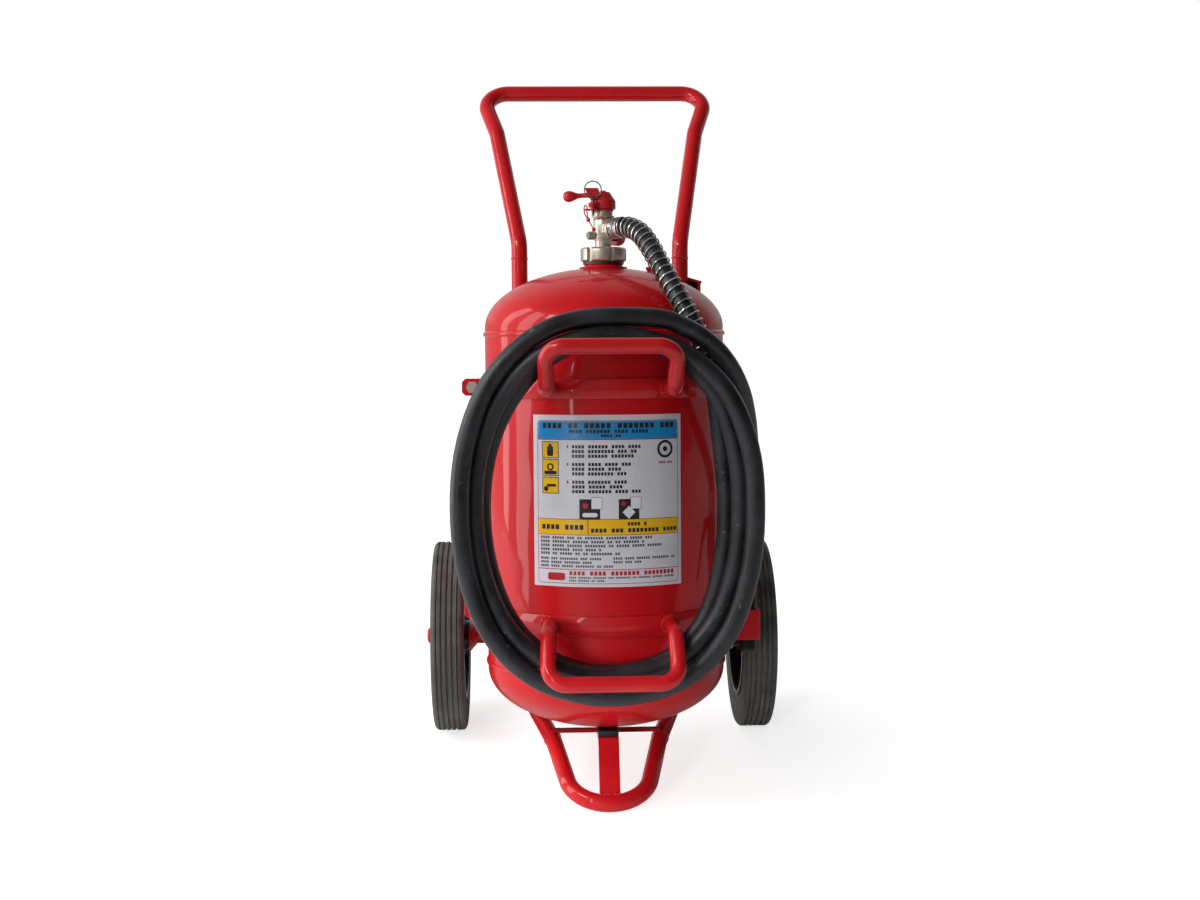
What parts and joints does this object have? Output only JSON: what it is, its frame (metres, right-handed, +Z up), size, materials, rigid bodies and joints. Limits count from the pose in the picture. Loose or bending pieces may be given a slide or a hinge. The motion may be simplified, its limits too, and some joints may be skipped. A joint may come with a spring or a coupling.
{
  "type": "wheeled fire extinguisher",
  "caption": "Wheeled foam fire extinguisher: upright red cylinder on a tube trolley that leans back on spoked wheels, hose coiled on the front, foam pistol clipped at the side.",
  "frame": {"origin": "on the floor, midway between the two wheels' contact points, in the mid-plane", "axes": "+Z up, +X to the side that carries the foam pistol, +Y towards the push handle (the back); the parked unit leans back 9.3 degrees"},
  "size_m": [0.5576, 0.7732, 1.0076],
  "materials": {
    "red_enamel": "gloss",
    "black_enamel": "semi-gloss",
    "nickel": "satin nickel plate",
    "steel_wire": "bright wire",
    "zinc_bolt": "zinc plated",
    "hose_rubber": "matte",
    "seal_rubber": "matte",
    "tyre_rubber": "matte",
    "dark_plastic": "matte",
    "white_plastic": "matte",
    "orange_plastic": "satin",
    "dial_white": "matte",
    "clear_window": "clear"
  },
  "bodies": {
    "frame": {"tank_shell": "red_enamel", "upper_head": "red_enamel", "lower_head": "red_enamel", "neck_collar": "red_enamel", "neck_seal": "seal_rubber", "ring_nut": "nickel", "dip_tube": "white_plastic", "dip_strainer": "white_plastic", "dome_plug": "red_enamel", "valve_body": "nickel", "valve_bonnet": "nickel", "ball_seats": "white_plastic", "pin_plate": "red_enamel", "seal_tie": "orange_plastic", "test_nipple": "nickel", "gauge_case": "red_enamel", "gauge_dial": "dial_white", "gauge_window": "clear_window", "outlet_nut": "nickel", "guard_spring": "steel_wire", "hose": "hose_rubber", "nozzle_coupling": "nickel", "pistol_body": "dark_plastic", "trigger_pin": "zinc_bolt", "foam_barrel": "dark_plastic", "nozzle_clip": "red_enamel", "upper_band_front": "red_enamel", "upper_band_rear": "red_enamel", "lower_band_front": "red_enamel", "lower_band_rear": "red_enamel", "band_bolts": "zinc_bolt", "upper_hanger": "red_enamel", "lower_hanger": "red_enamel", "push_handle": "red_enamel", "frame_tube_left": "red_enamel", "frame_tube_right": "red_enamel", "foot_loop": "red_enamel", "foot_strap": "red_enamel", "foot_crossbar": "red_enamel", "foot_pad": "seal_rubber", "axle_beam": "red_enamel", "axle_gussets": "red_enamel", "axle_stubs": "zinc_bolt", "axle_washers": "zinc_bolt", "axle_caps": "red_enamel", "rear_bracket": "red_enamel"},
    "lever": {"lever_cap": "red_enamel", "valve_spindle": "nickel", "valve_ball": "nickel", "lever_screw": "zinc_bolt"},
    "pin": {"safety_pin": "steel_wire"},
    "pin_ring": {"pull_ring": "steel_wire"},
    "trigger": {"pistol_trigger": "dark_plastic"},
    "needle": {"gauge_needle": "dark_plastic"},
    "left_wheel": {"left_tyre": "tyre_rubber", "left_rim": "black_enamel", "left_bush": "white_plastic"},
    "right_wheel": {"right_tyre": "tyre_rubber", "right_rim": "black_enamel", "right_bush": "white_plastic"}
  },
  "joints": [
    {"name": "left_wheel_spin", "type": "hinge", "parent": "frame", "child": "left_wheel", "pos_m": [-0.24, 0, 0.15], "axis": [1, 0, 0], "continuous": true},
    {"name": "right_wheel_spin", "type": "hinge", "parent": "frame", "child": "right_wheel", "pos_m": [0.24, 0, 0.15], "axis": [1, 0, 0], "continuous": true},
    {"name": "lever_turn", "type": "hinge", "parent": "frame", "child": "lever", "pos_m": [0, -0.08367, 0.8447], "axis": [0, 0.1618, 0.9868], "range_deg": [0, 90]},
    {"name": "pin_pull", "type": "slide", "parent": "lever", "child": "pin", "axis": [0, 0.1618, 0.9868], "range_m": [0, 0.04]},
    {"name": "ring_swing", "type": "hinge", "parent": "pin", "child": "pin_ring", "pos_m": [-0.0155, -0.10297, 0.8506], "axis": [1, 0, 0], "range_deg": [0, 100]},
    {"name": "trigger_squeeze", "type": "hinge", "parent": "frame", "child": "trigger", "pos_m": [0.205, -0.23884, 0.39286], "axis": [1, 0, 0], "range_deg": [0, 16], "stiffness_Nm_per_rad": 1, "springref_deg": -8.59},
    {"name": "needle_turn", "type": "hinge", "parent": "frame", "child": "needle", "pos_m": [0.01909, -0.06782, 0.79042], "axis": [0.6157, 0.7776, -0.1275], "range_deg": [-100, 100], "stiffness_Nm_per_rad": 0.001}
  ]
}
